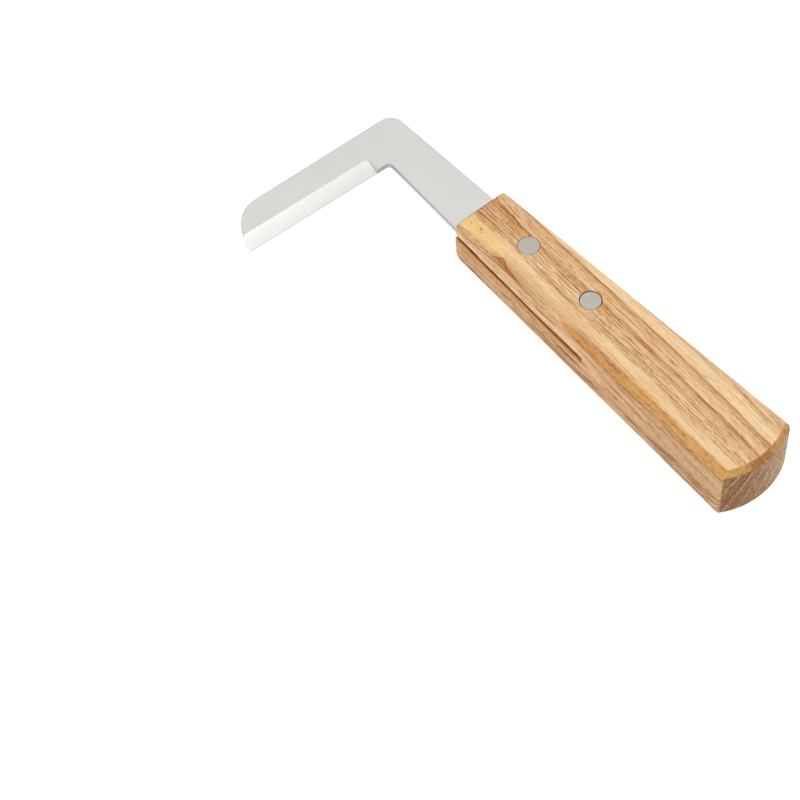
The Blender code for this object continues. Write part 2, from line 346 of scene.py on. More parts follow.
def slab(name, xs, ys, low, high):
    """Closed slab over a grid, with its two faces given by functions."""
    nx, ny = len(xs), len(ys)
    points = [(x, y, layer(x, y)) for layer in (low, high) for x in xs for y in ys]
    faces = []

    def at(i, j, layer):
        return layer * nx * ny + i * ny + j

    for i in range(nx - 1):
        for j in range(ny - 1):
            for layer in (0, 1):
                faces.append((
                    at(i, j, layer), at(i + 1, j, layer),
                    at(i + 1, j + 1, layer), at(i, j + 1, layer),
                ))
        for j in (0, ny - 1):
            faces.append((at(i, j, 0), at(i + 1, j, 0), at(i + 1, j, 1), at(i, j, 1)))
    for j in range(ny - 1):
        for i in (0, nx - 1):
            faces.append((at(i, j, 0), at(i, j + 1, 0), at(i, j + 1, 1), at(i, j, 1)))
    return add_object(name, points, faces)


def lip(x, y, seed):
    """How far a saw cut's torn lip wanders from a straight line."""
    slow = noise.noise(Vector((x * 0.09, y * 0.2, seed)))
    quick = noise.noise(Vector((x * 0.55, y * 0.8, seed + 7.3)))
    tear = noise.noise(Vector((x * 1.7, y * 2.1, seed + 3.1)))
    return 0.16 * slow + 0.14 * quick + 0.09 * tear


def bell(x, centre, width):
    return math.exp(-((x - centre) / width) ** 2)


KERF_GRIP = 0.05        # the cut is this much tighter than its nominal walls
LIP_RISE, LIP_RISE_X = 0.009, 32.0
LEFT_SIDE_Y = 5.0       # beyond this y a point is on the left lip


def kerf_cutter():
    xs = list(np.linspace(KERF_END_X, FRONT_X + 3.0, 170))
    ys = [-15.0] + list(np.linspace(-12.8, -8.2, 14)) \
        + list(np.linspace(-6.0, 6.0, 4)) + list(np.linspace(8.2, 12.8, 14)) + [15.0]

    def outside(y):
        # the walls are straight where they hold the tang
        share = min(max((abs(y) - 8.0) / 1.4, 0.0), 1.0)
        return share * share * (3 - 2 * share)

    def sag(x, y):
        # the cut wandered a little low part way along the left side
        return 0.36 * bell(x, centre=18.0, width=7.5) if y > LEFT_SIDE_Y else 0.0

    def high(x, y):
        # a sliver has broken away from the upper lip near the left front corner
        chip = 0.0
        if y > LEFT_SIDE_Y:
            chip = 0.20 / (1.0 + math.exp(-(x - 46.2) / 0.25))
            chip -= 0.24 * bell(x, centre=45.3, width=0.7)
        rise = LIP_RISE * (x - LIP_RISE_X)
        run_out = -0.2 * bell(x, centre=KERF_END_X, width=1.0)
        return KERF_HIGH - KERF_GRIP + outside(y) * (
            lip(x, y, seed=1.7) + chip + rise + run_out - sag(x, y))

    def low(x, y):
        # fuzz left on the lower lip narrows the mouth of the cut
        fuzz = 0.26
        run_out = -0.5 * bell(x, centre=KERF_END_X, width=0.7)
        rise = LIP_RISE * (x - LIP_RISE_X)
        return KERF_LOW + KERF_GRIP + outside(y) * (
            fuzz + 1.1 * lip(x, y, seed=11.9) + rise + run_out - sag(x, y))

    return slab("kerf_cutter", xs, ys, low, high)


def hole_cutter(label):
    """A drilled hole whose rims are broken very slightly."""
    hole_x, radius = RIVETS[label][:2]
    top = top_height(hole_x)
    # radius and height of each ring
    profile = [
        (radius + 0.12, -3.0), (radius + 0.12, -0.06), (radius, 0.12),
        (radius, top - 0.09), (radius + 0.09, top + 0.02),
        (radius + 0.5, top + 3.0),
    ]
    steps = 96
    points = []
    for ring_radius, z in profile:
        for angle in full_turn(steps):
            # the rim follows the sloping top face
            tilt = -TOP_SLOPE * ring_radius * math.cos(angle) if z > 1.0 else 0.0
            points.append((
                hole_x + ring_radius * math.cos(angle),
                RIVET_Y + ring_radius * math.sin(angle),
                z + tilt,
            ))
    sides, base, lid = stacked_faces(steps, len(profile))
    return add_object("hole_" + label, points, sides + [base, lid])


def build_handle():
    body = add_object("handle_body", *handle_blank())
    cut_and_apply(body, [kerf_cutter()] + [hole_cutter(label) for label in RIVETS])
    tidy(body, sharp_degrees=32)
    return body


# --------------------------------------------------------------------- blade
def arm_outer_x(y):
    return FRONT_X + BLADE_REACH + math.tan(ARM_LEAN) * y


EDGE_ROOT_X = arm_outer_x(HEEL_Y) - ARM_ROOT_WIDTH


def edge_x(y):
    return EDGE_ROOT_X + math.tan(EDGE_LEAN) * (y - HEEL_Y)


def between(start, end, spacing):
    """Points part of the way from start to end, ends left out."""
    count = max(1, int(math.dist(start, end) / spacing))
    return [
        (start[0] + (end[0] - start[0]) * i / count, start[1] + (end[1] - start[1]) * i / count)
        for i in range(1, count)
    ]


def blade_outline():
    tang_x = FRONT_X - TANG_LENGTH
    outer_corner = (arm_outer_x(-SHANK_OUTER_Y), -SHANK_OUTER_Y)
    inner_corner = (edge_x(SHANK_INNER_Y), SHANK_INNER_Y)
    shoulder_outer = (FRONT_X, -SHOULDER_OUTER_Y)
    shoulder_inner = (FRONT_X, SHOULDER_INNER_Y)
    tang_outer = (tang_x, -TANG_END_WIDTH / 2)
    tang_inner = (tang_x, TANG_END_WIDTH / 2)
    tip_start = (arm_outer_x(TIP_START_Y), TIP_START_Y)
    tip_edge = (edge_x(TIP_END_Y), TIP_END_Y)
    heel = (edge_x(HEEL_Y), HEEL_Y)
    sweep = bezier(
        tip_start,
        (tip_start[0] + TIP_START_PULL[0], tip_start[1] + TIP_START_PULL[1]),
        (tip_edge[0] + TIP_END_PULL[0], tip_edge[1] + TIP_END_PULL[1]),
        tip_edge,
        steps=40,
    )
    runs = [
        fillet(tang_inner, tang_outer, shoulder_outer, TANG_END_R, steps=12),
        [shoulder_outer],
        fillet(shoulder_outer, outer_corner, tip_start, OUTER_CORNER_R, steps=24),
        sweep[:-4],
        fillet(sweep[-5], tip_edge, heel, TIP_CORNER_R, steps=8),
        fillet(heel, inner_corner, shoulder_inner, INNER_CORNER_R, steps=12),
        [shoulder_inner],
        fillet(shoulder_inner, tang_inner, tang_outer, TANG_END_R, steps=12),
    ]
    points = []
    for i, run in enumerate(runs):
        points += run
        points += between(run[-1], runs[(i + 1) % len(runs)][0], spacing=1.5)
    return points


def drawn_in(outline, amount):
    """The outline moved inwards by an amount, square to its own edges."""
    count = len(outline)
    result = []
    for i in range(count):
        before, here, after = (Vector(outline[k % count]) for k in (i - 1, i, i + 1))
        arriving, leaving = (here - before).normalized(), (after - here).normalized()
        normal_in = Vector((-arriving.y, arriving.x))
        normal_out = Vector((-leaving.y, leaving.x))
        normal = (normal_in + normal_out).normalized()
        result.append(tuple(here + normal * (amount / max(normal.dot(normal_in), 0.4))))
    return result


def blade_blank():
    """The plate with eased rims, before the edge is ground."""
    outline = blade_outline()
    angles = [math.pi / 2 * k / 4 for k in range(5)]
    # how far in and how high each loop lies
    levels = [
        (RIM_EASE_LOW * (1 - math.sin(angle)), BLADE_BASE + RIM_EASE_LOW * (1 - math.cos(angle)))
        for angle in angles
    ]
    levels += [
        (RIM_EASE_HIGH * (1 - math.cos(angle)), BLADE_TOP - RIM_EASE_HIGH * (1 - math.sin(angle)))
        for angle in angles
    ]
    points = [(x, y, z) for inset, z in levels for x, y in drawn_in(outline, inset)]
    sides, base, lid = stacked_faces(len(outline), len(levels))
    return points, sides + [base, lid]


def grind_cutter():
    """The wedge the grinding wheel takes off, with its round run-out."""
    axis = Vector((math.sin(EDGE_LEAN), math.cos(EDGE_LEAN)))
    across = Vector((math.cos(EDGE_LEAN), -math.sin(EDGE_LEAN)))
    heel = Vector((edge_x(HEEL_Y), HEEL_Y))
    low = BLADE_BASE + EDGE_LAND
    rise = (BLADE_THICK - EDGE_LAND) / BEVEL_WIDTH
    reach = BEVEL_WIDTH + 0.6
    length = (TIP_END_Y - HEEL_Y) + 10.0
    # distance along the edge from the heel, and inwards from the edge
    plan = [(length, reach), (length, -3.0), (0.0, -3.0)]
    plan += [
        (HEEL_R * (1 - math.cos(angle)), reach - HEEL_R + HEEL_R * math.sin(angle))
        for angle in [math.pi / 2 * i / 24 for i in range(25)]
    ]
    points = []
    for height in (lambda inward: low + rise * inward, lambda inward: BLADE_TOP + 3.0):
        for far, inward in plan:
            place = heel + axis * far + across * inward
            points.append((place.x, place.y, height(inward)))
    sides, base, lid = stacked_faces(len(plan), 2)
    return add_object("grind_cutter", points, sides + [lid, base])


def tang_hole(label):
    hole_x = RIVETS[label][0]
    steps = 64
    points = [
        (
            hole_x + TANG_HOLE_RADIUS * math.cos(angle),
            RIVET_Y + TANG_HOLE_RADIUS * math.sin(angle),
            z,
        )
        for z in (BLADE_BASE - 2.0, BLADE_TOP + 2.0)
        for angle in full_turn(steps)
    ]
    sides, base, lid = stacked_faces(steps, 2)
    return add_object("tang_hole_" + label, points, sides + [lid, base])


def build_blade():
    plate = add_object("blade_plate", *blade_blank())
    cut_and_apply(plate, [grind_cutter()] + [tang_hole(label) for label in RIVETS])
    tidy(plate, sharp_degrees=11)
    return plate


# -------------------------------------------------------------------- rivets
def build_rivet(label):
    """A solid pin: both heads ground flush, with a thin eased rim and the
    faint unevenness of a filed face."""
    hole_x, _, radius, shift, seed = RIVETS[label]
    centre_x, centre_y = hole_x + shift[0], RIVET_Y + shift[1]
    steps = 128
    top = top_height(centre_x)
    face_shares = (0.15, 0.35, 0.55, 0.75, 0.9)

    def filed(x, y):
        return FILED_DEPTH * noise.noise(Vector((x * FILED_RATE, y * FILED_RATE, seed)))

    # the quarter-round rim, as steps outwards and the drop that goes with each
    outs = [PIN_EASE * math.sin(math.pi / 2 * k / 4) for k in range(5)]
    rim = [(out, math.sqrt(max(PIN_EASE * PIN_EASE - out * out, 0.0))) for out in outs]
    profile = [(radius * share, 0.0) for share in face_shares]
    profile += [(radius - PIN_EASE + out, PIN_EASE - drop) for out, drop in rim]
    profile += [(radius, z) for z in np.linspace(0.5, top - 0.5, 9)]
    profile += [(radius - PIN_EASE + out, top - PIN_EASE + drop) for out, drop in reversed(rim)]
    profile += [(radius * share, top) for share in reversed(face_shares)]

    points = [(centre_x, centre_y, 0.0)]
    for ring_radius, z in profile:
        for angle in full_turn(steps):
            x = centre_x + ring_radius * math.cos(angle)
            y = centre_y + ring_radius * math.sin(angle)
            height = z
            if z > top - 0.4:
                height += -TOP_SLOPE * (x - centre_x)
                height += filed(x, y)
            points.append((x, y, height))
    points.append((centre_x, centre_y, top + filed(centre_x, centre_y)))

    last = len(points) - 1
    rings = len(profile)
    faces = []
    for i in range(steps):
        j = (i + 1) % steps
        faces.append((0, 1 + j, 1 + i))
        faces.append((last, 1 + (rings - 1) * steps + i, 1 + (rings - 1) * steps + j))
        for k in range(rings - 1):
            faces.append((
                1 + k * steps + i, 1 + k * steps + j,
                1 + (k + 1) * steps + j, 1 + (k + 1) * steps + i,
            ))
    pin = add_object("pin_" + label, points, faces)
    shade(pin, sharp_degrees=50)
    return pin


# ------------------------------------------------------------------- colours
WOOD_GAIN = (1.02, 0.990, 0.940)
SIDE_LIGHT = 0.70


def lin(*srgb):
    """sRGB 0-255 to scene-linear colour."""
    out = []
    for level in srgb:
        level = level / 255.0
        out.append(level / 12.92 if level <= 0.04045 else ((level + 0.055) / 1.055) ** 2.4)
    return (*out, 1.0)


def wood(*srgb):
    return (*[value * gain for value, gain in zip(lin(*srgb), WOOD_GAIN)], 1.0)


def side_wood(*srgb):
    """Colours of the upright faces, which get less light than the top."""
    return (*[min(value / SIDE_LIGHT, 1.0) for value in wood(*srgb)[:3]], 1.0)


def grey(level):
    return (level, level, level, 1.0)


def linear(*rgb):
    return (*rgb, 1.0)


# --------------------------------------------------------------- node graphs
class Value:
    """A shader output that can be reckoned with like a number."""

    def __init__(self, graph, socket):
        self.graph = graph
        self.socket = socket

    def math(self, operation, *others):
        return self.graph.math(operation, self, *others)

    def __add__(self, other):
        return self.math('ADD', other)

    def __radd__(self, other):
        return self.graph.math('ADD', other, self)

    def __sub__(self, other):
        return self.math('SUBTRACT', other)

    def __rsub__(self, other):
        return self.graph.math('SUBTRACT', other, self)

    def __mul__(self, other):
        return self.math('MULTIPLY', other)

    def __pow__(self, power):
        return self.math('POWER', power)

    def __abs__(self):
        return self.math('ABSOLUTE')

    def times(self, factor, plus):
        return self.math('MULTIPLY_ADD', factor, plus)

    def centred(self, amount):
        """A noise turned into a sway about zero."""
        return (self - 0.5) * amount

    def step(self, start, end, out_low=0.0, out_high=1.0):
        """Goes smoothly from out_low at start to out_high at end.  With start
        above end it falls as the value grows."""
        node = self.graph.node("ShaderNodeMapRange", interpolation_type='SMOOTHSTEP')
        for name, value in (
            ("Value", self), ("From Min", start), ("From Max", end),
            ("To Min", out_low), ("To Max", out_high),
        ):
            self.graph.put(node.inputs[name], value)
        return Value(self.graph, node.outputs["Result"])

    def within(self, rise, fall):
        """A window: two steps, one at each side."""
        return self.step(*rise) * self.step(*fall)

    def ramp(self, stops, colour_of=grey, low=None, high=None):
        """Colours at stations.  A stop is a station and what colour_of takes;
        the ramp spans its stops unless low and high say otherwise."""
        low = stops[0][0] if low is None else low
        high = stops[-1][0] if high is None else high
        share = self.graph.math('MULTIPLY', self - low, 1.0 / (high - low), clamp=True)
        node = self.graph.node("ShaderNodeValToRGB")
        elements = node.color_ramp.elements
        while len(elements) < len(stops):
            elements.new(0.5)
        for element, stop in zip(list(elements), stops):
            element.position = (stop[0] - low) / (high - low)
        for element, stop in zip(list(elements), stops):
            element.color = colour_of(*stop[1:])
        self.graph.put(node.inputs["Fac"], share)
        return Value(self.graph, node.outputs["Color"])

    def curve(self, stations):
        """A track through (station, height), for heights between -4 and 4."""
        return self.ramp([(at, (height + 4.0) / 8.0) for at, height in stations]).times(8.0, -4.0)

    def paint(self, over, mask, share=None):
        """This colour with another laid over it where the mask is."""
        return self.graph.mix(mask if share is None else mask * share, self, over)

    def tint(self, by):
        return self.graph.mix(1.0, self, by, 'MULTIPLY')


class Graph:
    """A short way of writing a node tree."""

    def __init__(self, name):
        self.mat = bpy.data.materials.new(name)
        self.mat.use_nodes = True
        self.tree = self.mat.node_tree
        self.tree.nodes.clear()
        self.out = self.tree.nodes.new("ShaderNodeOutputMaterial")

    def put(self, socket, value):
        if isinstance(value, Value):
            self.tree.links.new(value.socket, socket)
        else:
            socket.default_value = value

    def node(self, kind, **props):
        node = self.tree.nodes.new(kind)
        for key, value in props.items():
            setattr(node, key, value)
        return node

    def math(self, operation, *terms, clamp=False):
        node = self.node("ShaderNodeMath", operation=operation, use_clamp=clamp)
        for i, value in enumerate(terms):
            self.put(node.inputs[i], value)
        return Value(self, node.outputs[0])

    def noise(self, axes, rates, detail=2.0, rough=0.5):
        """Noise over three axes, each stretched by its rate (None: left alone)."""
        scaled = [axis if rate is None else axis * rate for axis, rate in zip(axes, rates)]
        vector = self.node("ShaderNodeCombineXYZ")
        for i, value in enumerate(scaled):
            self.put(vector.inputs[i], value)
        node = self.node("ShaderNodeTexNoise")
        self.put(node.inputs["Vector"], Value(self, vector.outputs[0]))
        self.put(node.inputs["Scale"], 1.0)
        self.put(node.inputs["Detail"], detail)
        self.put(node.inputs["Roughness"], rough)
        return Value(self, node.outputs["Fac"])

    def mix(self, share, under, over, blend='MIX'):
        node = self.node("ShaderNodeMix", data_type='RGBA', blend_type=blend)
        self.put(node.inputs["Factor"], share)
        self.put(node.inputs[6], under)
        self.put(node.inputs[7], over)
        return Value(self, node.outputs[2])

    def split(self, socket):
        parts = self.node("ShaderNodeSeparateXYZ")
        self.tree.links.new(socket, parts.inputs[0])
        return tuple(Value(self, output) for output in parts.outputs)

    def coordinates(self):
        """Object coordinates in millimetres."""
        tex = self.node("ShaderNodeTexCoord")
        scale = self.node("ShaderNodeVectorMath", operation='SCALE')
        self.tree.links.new(tex.outputs["Object"], scale.inputs[0])
        scale.inputs["Scale"].default_value = 1000.0
        return self.split(scale.outputs[0])

    def normal(self):
        return self.split(self.node("ShaderNodeNewGeometry").outputs["Normal"])

    def bump(self, height, distance, strength):
        node = self.node("ShaderNodeBump")
        self.put(node.inputs["Height"], height)
        self.put(node.inputs["Distance"], distance)
        self.put(node.inputs["Strength"], strength)
        return Value(self, node.outputs[0])

    def principled(self, **inputs):
        node = self.node("ShaderNodeBsdfPrincipled")
        for key, value in inputs.items():
            self.put(node.inputs[key.replace("_", " ")], value)
        self.tree.links.new(node.outputs[0], self.out.inputs["Surface"])


# ----------------------------------------------------------------------- ash
class Ash(Graph):
    """The wood's graph, with the places and noises its layers share.

    Growth rings are layers tilted across the block: ring counts across them
    and ray along them.  They drift sideways along the block, and open out
    near the front, where a knot has pushed them."""

    def __init__(self):
        super().__init__("ash_wood")
        x, y, z = self.place = self.coordinates()
        self.facing = self.normal()
        drift = (
            x.math('MAXIMUM', 0.0) ** 3.0 * 5.0e-6
            + (x * -1.0).math('MAXIMUM', 0.0) ** 3.0 * -7.5e-6
            + x.times(0.0427, plus=0.04)
        )
        ring_flat = y * 0.90 + z * 0.43 + drift
        ray_flat = y * -0.43 + z * 0.90 + x * 0.015
        # the grain before and after it wanders
        self.flat = (x, ring_flat, ray_flat)
        near_knot = x.step(30.0, 52.0)
        spread = x.step(38.0, 60.0) * 0.28
        slow = self.noise(self.flat, (0.022, 0.10, 0.05), detail=1.0)
        self.quick = self.noise(self.flat, (0.09, 0.32, 0.16))
        swirl = self.noise(self.flat, (0.11, 0.30, 0.14))
        self.ring = (
            ring_flat - (ring_flat - 8.7) * spread
            + slow.centred(0.6) + self.quick.centred(0.40)
            + swirl.centred(1.0) * near_knot
        )
        self.ray = ray_flat + slow.centred(0.5)
        self.grain = (x, self.ring, self.ray)


# station across the rings, sRGB
RING_COLOURS = [
    (-13.0, 226, 187, 141), (-10.6, 238, 206, 162), (-10.2, 214, 170, 120),
    (-8.0, 228, 190, 144), (-6.2, 238, 207, 164), (-5.8, 212, 168, 118),
    (-4.4, 228, 192, 146), (-2.4, 232, 196, 150), (-0.9, 238, 209, 167),
    (1.3, 238, 208, 166), (1.9, 233, 197, 151), (2.2, 216, 172, 121),
    (3.0, 222, 180, 132), (3.9, 229, 192, 149), (5.2, 232, 197, 155),
    (5.8, 228, 190, 145), (6.1, 208, 162, 110), (6.9, 211, 165, 113),
    (7.7, 222, 180, 133), (8.3, 226, 189, 146), (9.6, 230, 196, 154),
    (10.4, 235, 202, 157), (11.1, 234, 198, 149), (12.0, 234, 198, 149),
    (12.4, 237, 205, 158), (13.0, 239, 208, 162), (14.6, 236, 203, 156),
    (15.3, 229, 192, 144), (16.2, 226, 188, 142), (18.0, 224, 187, 142),
]
# station across the rings, darkness of the thin line there
RING_LINES = [
    (-10.4, 0.0), (-10.2, 0.9), (-9.9, 0.0),
    (-6.2, 0.0), (-6.0, 0.9), (-5.7, 0.0),
    (-2.22, 0.0), (-2.06, 0.95), (-1.90, 0.1), (-1.52, 0.1), (-1.36, 0.95), (-1.20, 0.0),
    (1.93, 0.0), (2.08, 1.0), (2.28, 0.40), (2.8, 0.0),
    (5.86, 0.0), (6.02, 1.0), (6.24, 0.40), (7.0, 0.0),
    (10.62, 0.0), (10.78, 0.95), (10.94, 0.1), (11.20, 0.1), (11.33, 0.65),
    (11.47, 0.05), (11.76, 0.05), (11.90, 0.8), (12.06, 0.0),
    (15.42, 0.0), (15.58, 0.55), (15.75, 0.0),
]
# station across the rings, how lively the streaks are
RING_LIVELINESS = [
    (-13.0, 0.8), (-6.2, 0.9), (-2.6, 0.9), (-1.0, 0.45), (1.6, 0.45),
    (2.1, 1.0), (3.4, 0.8), (5.2, 0.7), (6.0, 1.1), (8.0, 1.0), (12.0, 1.0),
    (12.6, 0.42), (14.8, 0.40), (15.6, 0.6), (18.0, 0.8),
]
# station across the rings, how porous the wood is
RING_PORES = [
    (-13.0, 0.3), (-10.0, 0.9), (-8.6, 0.3), (-5.8, 0.9), (-4.4, 0.3), (-2.2, 0.5),
    (-1.2, 0.15), (0.0, 0.0), (1.7, 0.0), (2.1, 0.45), (3.4, 0.25), (5.4, 0.12),
    (6.1, 0.45), (7.4, 0.35), (8.0, 1.0), (10.3, 1.0), (10.7, 0.5), (12.0, 0.4),
    (12.4, 0.05), (15.0, 0.05), (15.6, 0.12), (18.0, 0.3),
]
# height up the side, sRGB
SIDE_BUTT_HALF = [
    (0.0, 184, 160, 138), (1.0, 186, 157, 128), (2.4, 198, 164, 127), (4.2, 191, 151, 108),
    (6.0, 186, 146, 103), (7.2, 198, 161, 120), (8.6, 207, 174, 136), (12.0, 199, 166, 128),
    (14.2, 197, 159, 117), (16.0, 192, 152, 110), (18.0, 200, 162, 120),
]
SIDE_FRONT_HALF = [
    (0.0, 186, 161, 139), (1.2, 187, 158, 128), (3.0, 193, 157, 118), (4.6, 195, 159, 120),
    (6.2, 194, 156, 115), (7.6, 200, 157, 109), (8.8, 192, 136, 82), (9.6, 188, 128, 74),
    (10.9, 212, 174, 134), (11.8, 228, 197, 161), (13.2, 210, 176, 139),
    (14.4, 205, 169, 130), (18.0, 204, 166, 126),
]
# strength of a streak, what it multiplies the colour by
STREAK_TINTS = [
    (-0.50, 1.15, 1.24, 1.34), (-0.14, 1.05, 1.08, 1.11), (0.02, 1.0, 1.0, 1.0),
    (0.16, 0.92, 0.83, 0.71), (0.32, 0.80, 0.62, 0.43), (0.50, 0.66, 0.45, 0.26),
]
# streaks on the left face: (x, z) stations, half width, where the patchy noise
# starts and ends their rise, share, sRGB
BARK = (138, 86, 42)
LEFT_STREAKS = [
    ([(-54.0, 6.6), (-40.0, 5.9), (-30.0, 5.3), (-24.0, 4.7), (-8.0, 4.4)],
     0.62, 0.42, 0.54, 0.74, BARK),
    ([(-52.0, 7.4), (-38.0, 6.8), (-30.0, 6.4)], 0.30, 0.44, 0.56, 0.45, BARK),
    ([(-51.0, 10.4), (-36.0, 10.0)], 0.35, 0.42, 0.56, 0.28, BARK),
    ([(-30.0, 8.4), (-6.0, 7.6)], 0.26, 0.46, 0.58, 0.30, BARK),
    ([(-14.0, 2.6), (4.0, 2.3)], 0.40, 0.36, 0.5, 0.45, BARK),
    ([(-12.0, 6.6), (1.0, 6.0), (8.0, 5.8)], 0.34, 0.34, 0.46, 0.60, BARK),
    ([(42.0, 4.9), (50.0, 4.6), (57.0, 4.4)], 0.42, 0.34, 0.46, 0.62, (158, 92, 42)),
    ([(20.0, 6.2), (34.0, 6.0), (46.0, 5.4)], 0.34, 0.42, 0.54, 0.42, BARK),
    ([(14.0, 3.2), (40.0, 3.0)], 0.34, 0.46, 0.56, 0.36, BARK),
]
STREAK_MID_Z = 8.0      # their tracks are held as heights from here
# pin knots on the top face: x, y, radius
PIN_KNOTS = ((50.1, 5.35, 0.42), (49.3, 6.1, 0.26), (53.6, 5.9, 0.30))
# rises over the last of the height, so only the top face is marked
TOP_FACE = (12.6, 13.8)


def ring_layer(ash):
    """Ring bands, and thin dark lines of uneven strength where a ring ends."""
    bands = ash.ring.ramp(RING_COLOURS, wood)
    shiver = ash.noise(ash.flat, (0.45, 0.8, 0.4))
    late = (ash.ring + shiver.centred(0.24)).ramp(
        RING_LINES, low=RING_COLOURS[0][0], high=RING_COLOURS[-1][0])
    strength = ash.noise(ash.flat, (0.07, 0.6, 0.2)).step(0.36, 0.58, out_low=0.22)
    return bands.paint(wood(156, 90, 38), late * strength)


def front_layer(ash, colour):
    """Darker, redder and mottled wood near the front, and a yellow patch."""
    x, y, z = ash.place
    _, ring_flat, ray_flat = ash.flat
    tan = x.step(38.0, 46.0) * ash.ring.within((5.8, 6.6), (8.7, 8.0))
    colour = colour.paint(wood(204, 154, 100), tan, share=0.50)
    blush = x.step(36.0, 46.0) * ash.ring.within((8.6, 9.4), (11.6, 10.6))
    colour = colour.paint(wood(214, 164, 118), blush, share=0.40)

    # mottled brown between the front pin and the front face
    ash.curl = ash.noise(
        (x, ring_flat + x * 0.08, ray_flat), (0.13, 1.1, 0.5), detail=3.0, rough=0.6)
    brown = x.step(39.0, 43.0) * y.step(3.6, 2.6) * ash.curl.step(0.50, 0.60)
    colour = colour.paint(wood(192, 138, 82), brown, share=0.42)

    # yellow patch on the top face
    mottle = ash.noise(ash.flat, (0.18, 0.9, 0.5), detail=3.0)
    blur = mottle.centred(1.0)
    patch = (
        blur.times(9.0, plus=x).step(36.5, 41.0)
        * (blur.times(2.6, plus=x.times(0.10, plus=y)).step(8.1, 9.2)
           * blur.times(2.0, plus=y).step(9.1, 8.1))
        * z.step(*TOP_FACE)
    )
    patch = patch * mottle.step(0.34, 0.60, out_low=0.45, out_high=0.95)
    colour = colour.paint(wood(243, 206, 142), patch)

    # pinkish drift from place to place, all along the handle
    pink = ash.noise(ash.flat, (0.028, 0.3, 0.12), detail=3.0)
    return colour.paint(wood(222, 174, 132), pink.step(0.46, 0.74, out_high=0.45))


def side_layer(ash, colour):
    """The upright faces: tan, browner towards the underside, and warm under
    the lip of the saw cut."""
    x, y, z = ash.place
    ash.side = abs(ash.facing[1]).step(0.80, 0.95)
    wander = ash.quick.centred(1.0).times(2.2, plus=z)
    butt_half = wander.ramp(SIDE_BUTT_HALF, side_wood)
    front_half = wander.ramp(SIDE_FRONT_HALF, side_wood)
    tone = ash.mix(ash.quick.times(8.0, plus=x).step(-1.0, 8.0), butt_half, front_half)
    tone = tone.paint(tone.tint(linear(0.88, 0.86, 0.84)), x.step(-14.0, -32.0))
    return colour.paint(tone, ash.side, share=0.86)


def streak_layer(ash, colour):
    """Streaks along the grain from wide to fine, livelier in some rings, and
    single dark fibres that run far along it."""
    ash.lively = ash.ring.ramp(RING_LIVELINESS)
    wide = ash.noise(ash.grain, (0.012, 0.85, 0.40))
    middling = ash.noise(ash.grain, (0.045, 1.45, 0.9), detail=1.0)
    ash.fine = ash.noise(ash.grain, (0.060, 2.4, 1.4), rough=0.6)
    ash.hair = ash.noise(ash.grain, (0.32, 2.9, 2.2), detail=1.0)
    grit = ash.noise(ash.grain, (1.0, 2.0, 1.7), detail=1.0)
    top_shade = (
        wide.centred(0.6) + middling.centred(0.9) + ash.fine.centred(1.5)
        + ash.hair.centred(1.2) + grit.centred(0.9)
    ) * ash.lively
    coarse = ash.noise(ash.place, (0.045, 0.2, 0.62), detail=1.0)
    fleck = ash.noise(ash.place, (0.13, 0.4, 1.25), detail=1.0)
    speck = ash.noise(ash.place, (0.75, 0.9, 1.2), detail=1.0)
    side_shade = (
        top_shade * 0.5 + coarse.centred(1.1) + fleck.centred(1.4) + speck.centred(1.0)
    )
    ash.shade = top_shade + ash.side * (side_shade - top_shade)
    colour = colour.tint(ash.shade.ramp(STREAK_TINTS, linear))

    x = ash.place[0]
    for seed, rate, share in ((0.0, 1.2, 0.62), (21.0, 1.7, 0.50)):
        level = ash.noise(
            (x, ash.ring + seed, ash.ray), (0.020, rate, rate * 0.5), detail=1.0)
        off = abs(level - 0.5)
        here = ash.noise(
            (x, ash.ring + seed, ash.ray), (0.09, 0.9, 0.5), detail=1.0).step(0.46, 0.60)
        thread = off.step(0.040, 0.010) * (here * ash.lively)
        colour = colour.paint(colour.tint(linear(0.58, 0.37, 0.20)), thread, share)
    return colour


def pore_layer(ash, colour):
    """Rows of open pores in the early growth: bundles of parallel dark lines
    with pale wood between them, and loose dashes."""
    row_pitch = 0.68
    zone = ash.ring.ramp(RING_PORES)
    bundle = ash.noise(ash.flat, (0.055, 0.30, 0.2), detail=1.0).step(0.42, 0.54, out_low=0.08)
    rows = (
        ash.ring * (2.0 * math.pi / row_pitch)
        + ash.noise(ash.flat, (0.03, 0.5, 0.25), detail=1.0) * 9.0
    ).math('SINE')
    alive = ash.noise(ash.grain, (0.06, 1.5, 0.8), detail=1.0).step(0.44, 0.58)
    rows_here = zone * bundle * alive * ash.place[0].step(44.0, 36.0, out_low=0.35)
    ash.pore_line = rows.step(0.20, 0.80) * rows_here
    colour = colour.paint(wood(249, 226, 190), rows.step(-0.10, -0.70) * (rows_here * 0.70))
    colour = colour.paint(wood(122, 78, 42), ash.pore_line, share=0.82)

    dash = ash.noise(ash.grain, (0.24, 2.7, 2.3), rough=0.6)
    ash.pore_dash = dash.step(0.58, 0.66) * zone.times(0.62, plus=0.26)
    return colour.paint(wood(152, 96, 50), ash.pore_dash, share=0.62)


def left_face_layer(ash, colour):
    """Brown streaks along the left face."""
    x, y, z = ash.place
    left = ash.facing[1].step(0.80, 0.95) * 1.0
    patchy = ash.noise((x, z, 3.7), (0.16, 0.5, None))
    frayed = ash.noise((x, z, 9.1), (0.5, 1.6, None)).centred(1.0)
    for stations, half, start, end, share, ink in LEFT_STREAKS:
        track = x.curve([(at, height - STREAK_MID_Z) for at, height in stations])
        gap = abs(frayed.times(half * 2.4, plus=z + -STREAK_MID_Z) - track)
        line = gap.step(half, half * 0.3) * patchy.step(start, end, out_low=0.15)
        first, last = stations[0][0], stations[-1][0]
        ends = x.within((first, first + 2.5), (last, last - 2.5))
        colour = colour.paint(side_wood(*ink), line * ends * left, share)
    return colour


